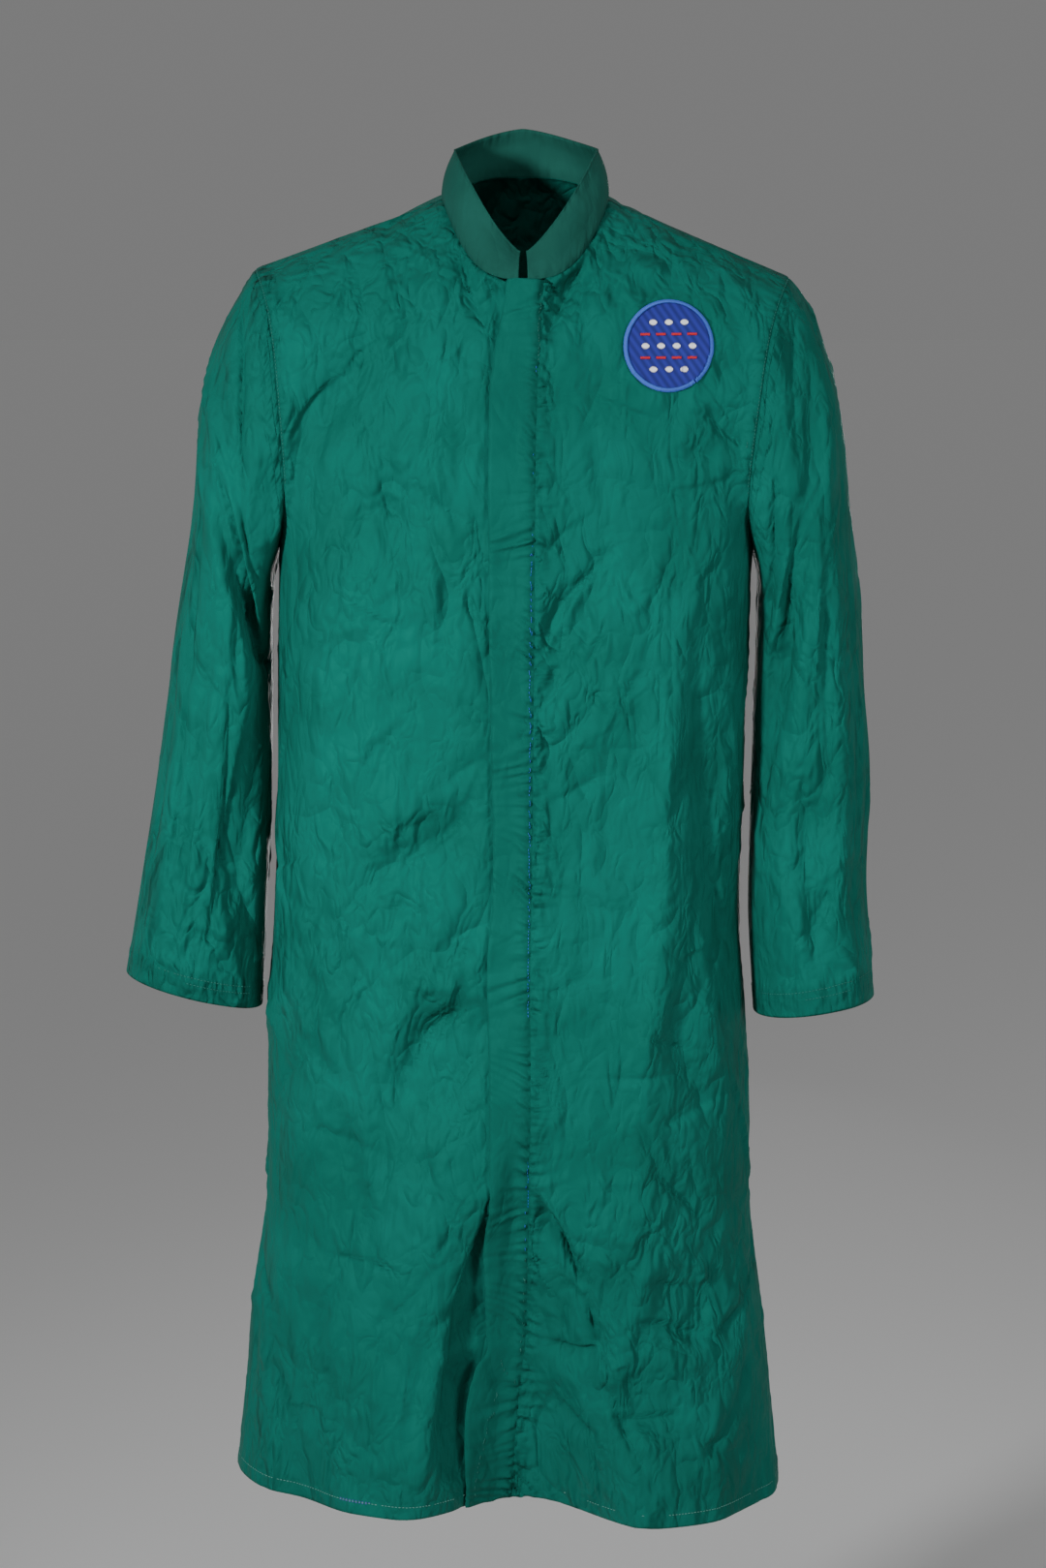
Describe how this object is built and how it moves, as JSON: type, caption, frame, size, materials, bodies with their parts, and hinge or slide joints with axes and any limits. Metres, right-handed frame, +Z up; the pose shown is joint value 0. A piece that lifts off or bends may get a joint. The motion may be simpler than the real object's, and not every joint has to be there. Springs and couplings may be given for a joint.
{
  "type": "knee-length nylon smock, worn form",
  "caption": "Knee-length smock with stand collar, covered front placket, long set-in sleeves and a round chest patch, hollow as worn.",
  "frame": {"origin": "middle of the neck opening, level with the sides of the neck, where the wearer's neck and shoulders hold the smock", "axes": "+X to the wearer's left, -Y to the front, +Z up"},
  "size_m": [0.643, 0.2565, 1.1783],
  "materials": {
    "smock_nylon": "plain-woven nylon, soft satin sheen",
    "collar_nylon": "the same nylon, doubled and stiffened",
    "patch_twill": "embroidered twill with an overlocked edge",
    "sewing_thread": "blue and green polyester sewing thread"
  },
  "bodies": {
    "root": {"front_right": "smock_nylon", "front_left": "smock_nylon", "back": "smock_nylon", "sleeve_right": "smock_nylon", "sleeve_left": "smock_nylon", "collar": "collar_nylon", "placket": "smock_nylon", "chest_patch": "patch_twill"}
  },
  "joints": []
}
